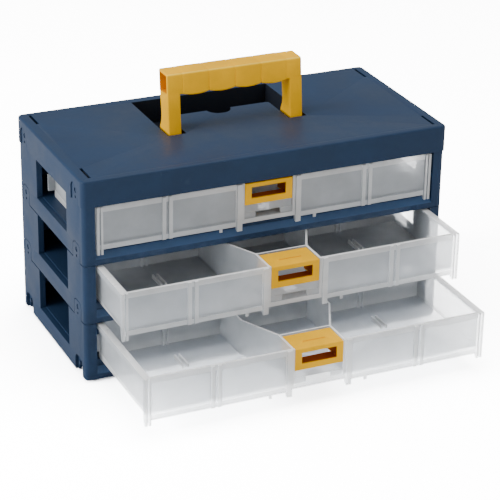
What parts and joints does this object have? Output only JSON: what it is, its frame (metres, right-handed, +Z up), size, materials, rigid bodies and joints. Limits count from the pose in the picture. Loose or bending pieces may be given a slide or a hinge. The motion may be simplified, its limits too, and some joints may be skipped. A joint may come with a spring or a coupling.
{
  "type": "parts bin cabinet",
  "caption": "Portable parts cabinet: stacked drawer frames with clear sliding drawers, sprung pull latches and side windows, under a lid with a folding carrying handle.",
  "frame": {"origin": "centre of the footprint of the whole cabinet as drawn, open drawers included, on the surface that the feet stand on", "axes": "+X to the right seen from the front, +Y from the drawer fronts to the back, +Z up"},
  "size_m": [0.4, 0.3174, 0.2807],
  "materials": {
    "cabinet_plastic": "satin injection-moulded polypropylene, navy blue",
    "yellow_plastic": "semi-gloss moulded plastic, warm yellow",
    "clear_plastic": "translucent frosted polypropylene",
    "foot_plastic": "soft translucent pad",
    "steel": "plain drawn wire and spring strip"
  },
  "bodies": {
    "cabinet": {"lid": "cabinet_plastic", "lid_grid_front": "cabinet_plastic", "lid_grid_left": "cabinet_plastic", "lid_grid_right": "cabinet_plastic", "upper_frame": "cabinet_plastic", "middle_frame": "cabinet_plastic", "lower_frame": "cabinet_plastic", "upper_deck": "cabinet_plastic", "middle_deck": "cabinet_plastic", "lower_deck": "cabinet_plastic", "foot_front_left": "foot_plastic", "foot_front_right": "foot_plastic", "foot_rear_left": "foot_plastic", "foot_rear_right": "foot_plastic"},
    "handle": {"handle": "yellow_plastic"},
    "upper_drawer": {"upper_drawer": "clear_plastic", "upper_latch_pins": "steel", "upper_latch_spring": "steel"},
    "upper_latch": {"upper_latch": "yellow_plastic"},
    "middle_drawer": {"middle_drawer": "clear_plastic", "middle_latch_pins": "steel", "middle_latch_spring": "steel"},
    "middle_latch": {"middle_latch": "yellow_plastic"},
    "lower_drawer": {"lower_drawer": "clear_plastic", "lower_latch_pins": "steel", "lower_latch_spring": "steel"},
    "lower_latch": {"lower_latch": "yellow_plastic"}
  },
  "joints": [
    {"name": "handle_fold", "type": "hinge", "parent": "cabinet", "child": "handle", "pos_m": [0, 0.0592, 0.2073], "axis": [-1, 0, 0], "range_deg": [-5.5, 84.5]},
    {"name": "upper_drawer_slide", "type": "slide", "parent": "cabinet", "child": "upper_drawer", "axis": [0, -1, 0], "range_m": [0, 0.1255]},
    {"name": "upper_latch_press", "type": "hinge", "parent": "upper_drawer", "child": "upper_latch", "pos_m": [0, -0.0287, 0.1683], "axis": [-1, 0, 0], "range_deg": [0, 6], "stiffness_Nm_per_rad": 0.1, "springref_deg": -14.32, "deforming": ["upper_latch_spring"]},
    {"name": "middle_drawer_slide", "type": "slide", "parent": "cabinet", "child": "middle_drawer", "axis": [0, -1, 0], "range_m": [-0.066, 0.0595]},
    {"name": "middle_latch_press", "type": "hinge", "parent": "middle_drawer", "child": "middle_latch", "pos_m": [0, -0.0947, 0.1053], "axis": [-1, 0, 0], "range_deg": [0, 6], "stiffness_Nm_per_rad": 0.1, "springref_deg": -14.32, "deforming": ["middle_latch_spring"]},
    {"name": "lower_drawer_slide", "type": "slide", "parent": "cabinet", "child": "lower_drawer", "axis": [0, -1, 0], "range_m": [-0.124, 0.0015]},
    {"name": "lower_latch_press", "type": "hinge", "parent": "lower_drawer", "child": "lower_latch", "pos_m": [0, -0.1527, 0.0423], "axis": [-1, 0, 0], "range_deg": [0, 6], "stiffness_Nm_per_rad": 0.1, "springref_deg": -14.32, "deforming": ["lower_latch_spring"]}
  ]
}
